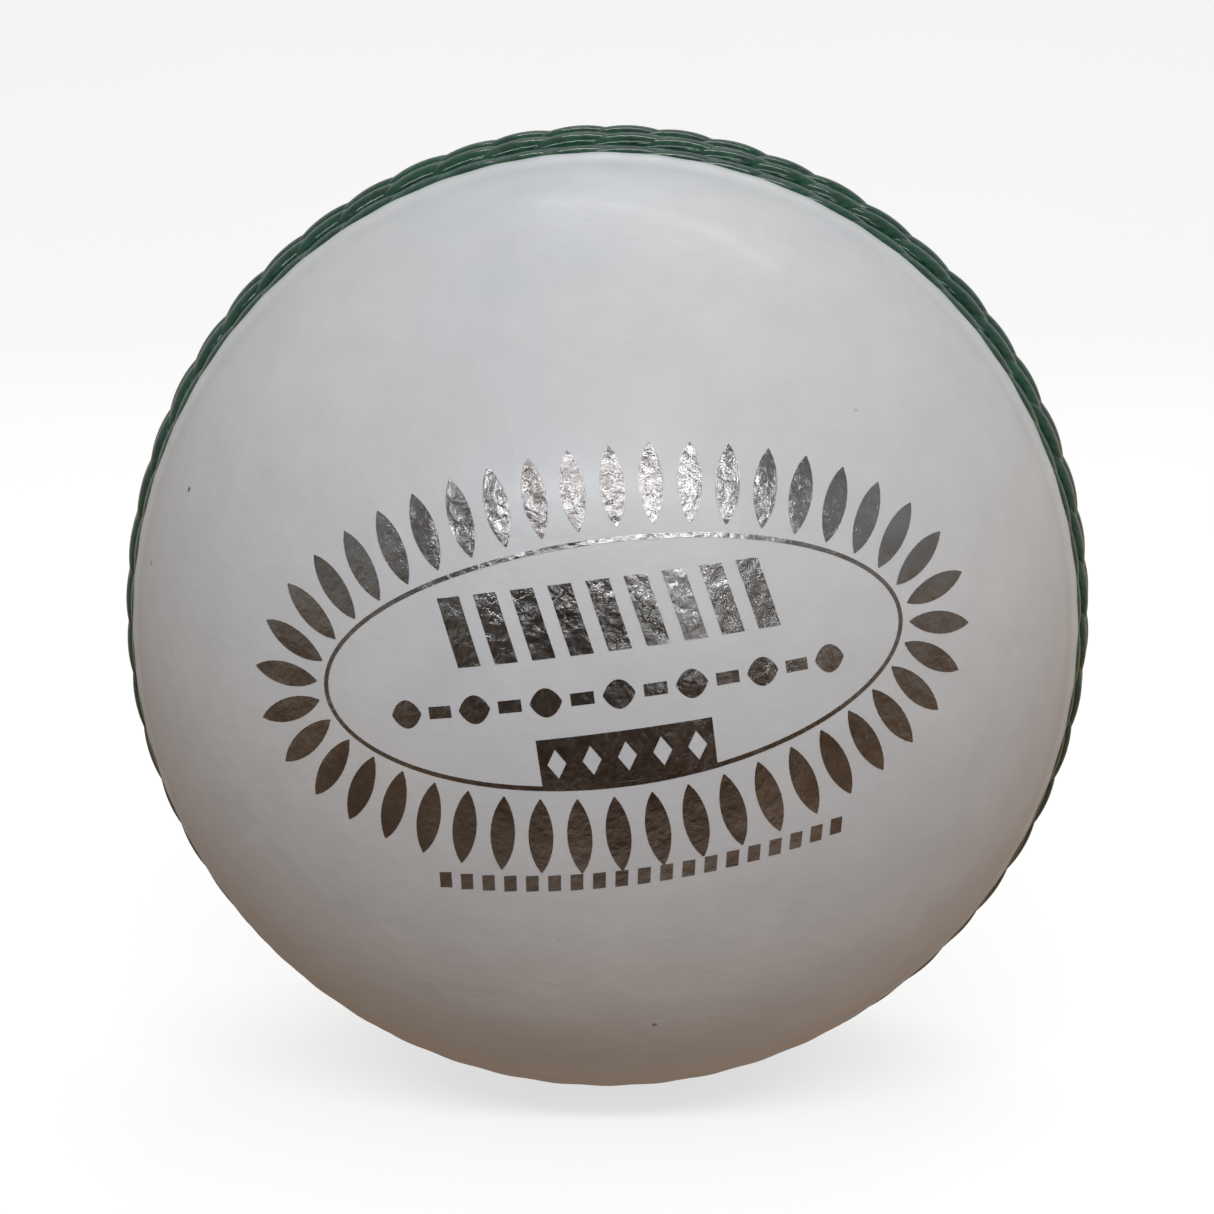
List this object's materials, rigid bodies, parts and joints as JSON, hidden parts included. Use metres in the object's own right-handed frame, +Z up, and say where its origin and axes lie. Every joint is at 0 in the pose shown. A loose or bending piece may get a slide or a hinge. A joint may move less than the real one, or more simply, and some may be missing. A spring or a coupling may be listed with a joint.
{
  "type": "cricket ball",
  "caption": "Round white leather cricket ball with a raised seam of dark green stitching round it and a wound cork centre inside a two-piece cover.",
  "frame": {"origin": "centre of the ball", "axes": "+Y along the ball's axis, at right angles to the plane of the seam, pointing from the stamped front cup to the plain back cup; +Z up and +X right, both in the plane of the seam, which stands upright"},
  "size_m": [0.0724, 0.0714, 0.0724],
  "materials": {
    "leather": "white dyed leather with a satin protective coat",
    "thread": "thick dark green waxed thread, glossy on its crests",
    "yarn": "undyed wool yarn, matte",
    "cork": "raw cork, matte",
    "foil_stamp": "hot-pressed silver foil, mirror-like with fine crackle"
  },
  "bodies": {
    "root": {"cork_core": "cork", "yarn_winding_1": "yarn", "yarn_winding_2": "yarn", "yarn_winding_3": "yarn", "cork_strip_1_1": "cork", "cork_strip_1_2": "cork", "cork_strip_1_3": "cork", "cork_strip_1_4": "cork", "cork_strip_2_1": "cork", "cork_strip_2_2": "cork", "cork_strip_2_3": "cork", "cork_strip_2_4": "cork", "leather_cup_front": "leather", "leather_cup_back": "leather", "stitch_row_front_inner": "thread", "stitch_row_front_middle": "thread", "stitch_row_front_outer": "thread", "stitch_row_back_inner": "thread", "stitch_row_back_middle": "thread", "stitch_row_back_outer": "thread"}
  },
  "joints": []
}
